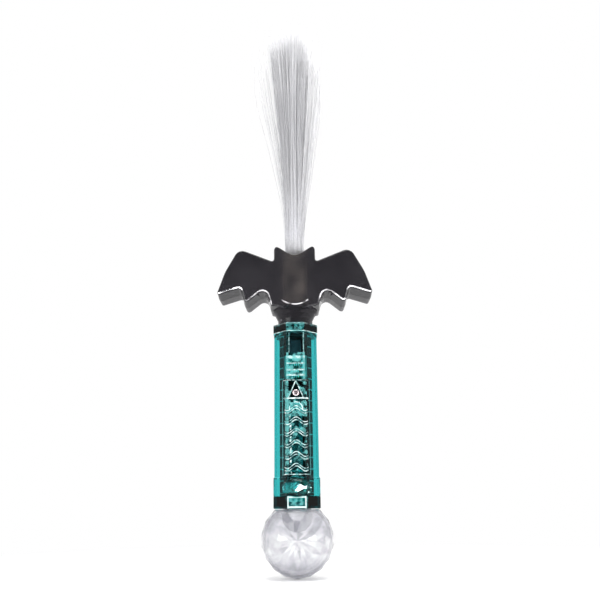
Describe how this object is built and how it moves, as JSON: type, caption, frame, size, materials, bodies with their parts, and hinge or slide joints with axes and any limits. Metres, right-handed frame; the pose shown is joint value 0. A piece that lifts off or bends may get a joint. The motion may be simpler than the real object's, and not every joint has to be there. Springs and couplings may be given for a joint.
{
  "type": "light-up wand",
  "caption": "Hand-held light-up wand with an octagonal battery handle, a push button, a bat-shaped head, a spray of light fibres and a clear faceted ball.",
  "frame": {"origin": "centre of the hand grip, on the wand's long axis, half way up the octagonal handle", "axes": "+Z along the wand from the ball to the tips of the fibres, -Y out of the front face that has the button and the battery door, +X to the right seen from the front"},
  "size_m": [0.1046, 0.0512, 0.4006],
  "materials": {
    "teal_clear": "clear tinted, glossy",
    "teal_button": "tinted, glossy",
    "screw_steel": "plain",
    "chassis_black": "satin",
    "board_green": "satin",
    "cell_jacket": "satin",
    "contact_steel": "bright",
    "resistor_tan": "glazed",
    "black": "satin",
    "clear": "clear, glossy",
    "wire_red": "satin",
    "smoked_black": "smoked, glossy",
    "light_fibre": "fine clear strands",
    "frosted": "frosted"
  },
  "bodies": {
    "wand": {"handle_front": "teal_clear", "handle_rear": "teal_clear", "top_collar": "teal_clear", "rear_screw_upper": "screw_steel", "rear_screw_lower": "screw_steel", "tact_switch": "chassis_black", "switch_board": "board_green", "chassis": "chassis_black", "cell_front": "cell_jacket", "cell_rear": "cell_jacket", "spring_front": "contact_steel", "spring_rear": "contact_steel", "negative_contact": "contact_steel", "positive_contact": "contact_steel", "bridge_contact": "contact_steel", "circuit_board": "board_green", "resistor_1": "resistor_tan", "resistor_2": "resistor_tan", "resistor_3": "resistor_tan", "resistor_4": "resistor_tan", "controller_chip": "black", "led_holder": "black", "fibre_led": "clear", "wire_red": "wire_red", "wire_black": "black", "head_front": "smoked_black", "head_rear": "smoked_black", "fibre_tube": "black", "fibre_tuft": "light_fibre", "ball_front": "clear", "ball_rear": "clear", "ball_diffuser": "frosted", "ball_led": "clear", "bottom_plug": "black"},
    "button": {"push_button": "teal_button", "switch_plunger": "chassis_black"},
    "door": {"battery_door": "teal_clear", "door_screw": "screw_steel"}
  },
  "joints": [
    {"name": "button_press", "type": "slide", "parent": "wand", "child": "button", "axis": [0, 1, 0], "range_m": [0, 0.0008], "stiffness_N_per_m": 400},
    {"name": "door_lift", "type": "slide", "parent": "wand", "child": "door", "axis": [0, -1, 0], "range_m": [0, 0.03]}
  ]
}
